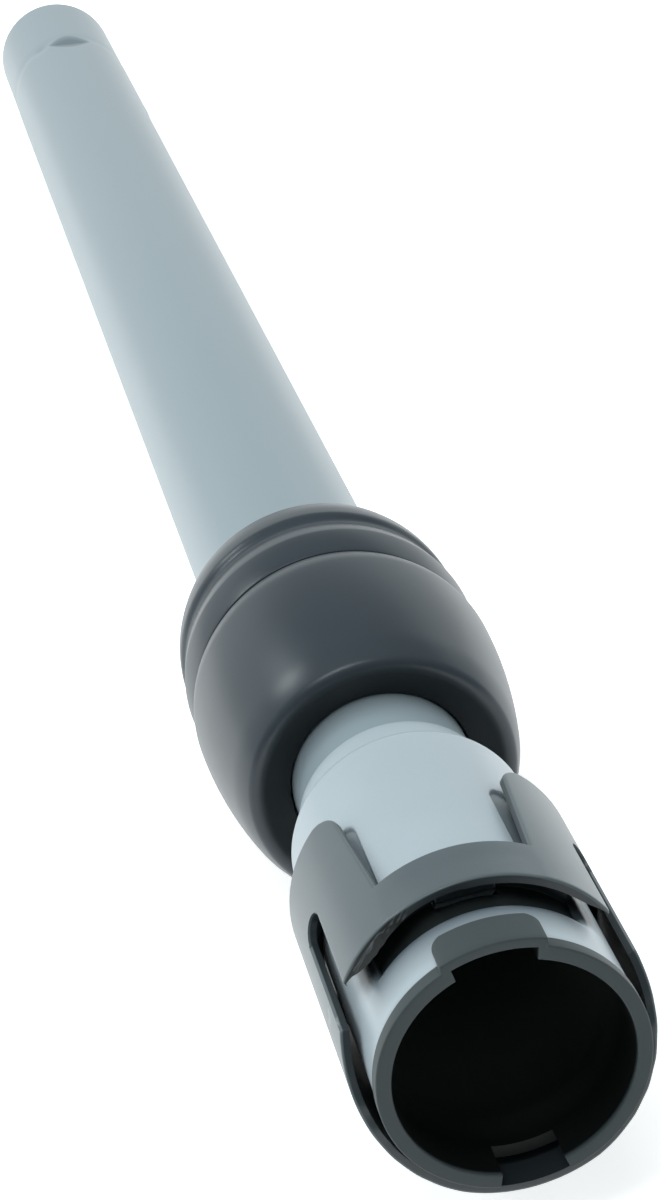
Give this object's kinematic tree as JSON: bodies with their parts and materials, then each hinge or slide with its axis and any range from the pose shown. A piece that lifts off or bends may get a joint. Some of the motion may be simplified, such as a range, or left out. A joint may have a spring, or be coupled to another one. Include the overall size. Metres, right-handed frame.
{
  "type": "telescopic vacuum wand",
  "caption": "Telescopic vacuum cleaner wand: sliding inner tube with a latching socket, bulb-shaped lock sleeve with a ribbed ring, and a long outer tube ending in a plain spigot.",
  "frame": {"origin": "centre of the socket's mouth", "axes": "+Y along the wand from the socket to the far spigot, +Z towards the hooded keyway and the latch tooth, +X to the side of the pressed guide groove"},
  "size_m": [0.0546, 0.588, 0.0546],
  "materials": {
    "tube_paint": "satin",
    "light_plastic": "satin",
    "dark_plastic": "satin",
    "collar_plastic": "satin",
    "liner_plastic": "matt",
    "inner_plastic": "matt",
    "seal_rubber": "matt",
    "felt": "matt",
    "spring_steel": "bare"
  },
  "bodies": {
    "outer_tube": {"outer_tube": "tube_paint", "lock_carrier": "inner_plastic", "wiper_seal": "felt", "sleeve_spring": "spring_steel", "pawl_spring": "spring_steel"},
    "slide_sleeve": {"sleeve_shell": "dark_plastic", "ribbed_ring": "dark_plastic", "cam_ring": "inner_plastic"},
    "lock_pawl": {"lock_pawl": "spring_steel"},
    "inner_tube": {"inner_tube": "tube_paint", "rear_slide_bush": "inner_plastic", "rear_seal_ring": "seal_rubber", "connector_body": "light_plastic", "bore_liner": "liner_plastic", "socket_seal": "seal_rubber", "collar_spring": "spring_steel"},
    "release_collar": {"release_collar": "collar_plastic"}
  },
  "joints": [
    {"name": "telescope", "type": "slide", "parent": "outer_tube", "child": "inner_tube", "axis": [0, -1, 0], "range_m": [0, 0.36]},
    {"name": "sleeve_slide", "type": "slide", "parent": "outer_tube", "child": "slide_sleeve", "axis": [0, 1, 0], "range_m": [0, 0.006], "stiffness_N_per_m": 600, "springref_m": -0.004, "deforming": ["sleeve_spring"]},
    {"name": "pawl_lift", "type": "slide", "parent": "outer_tube", "child": "lock_pawl", "axis": [0, 0, -1], "range_m": [0, 0.002], "stiffness_N_per_m": 500, "springref_m": -0.002, "deforming": ["pawl_spring"]},
    {"name": "collar_press", "type": "slide", "parent": "inner_tube", "child": "release_collar", "axis": [0, 0, 1], "range_m": [0, 0.0014], "stiffness_N_per_m": 2000, "springref_m": -0.001, "deforming": ["collar_spring"]}
  ],
  "couplings": [
    {"joint": "pawl_lift", "follows": "sleeve_slide", "ratio": 0.33333}
  ]
}
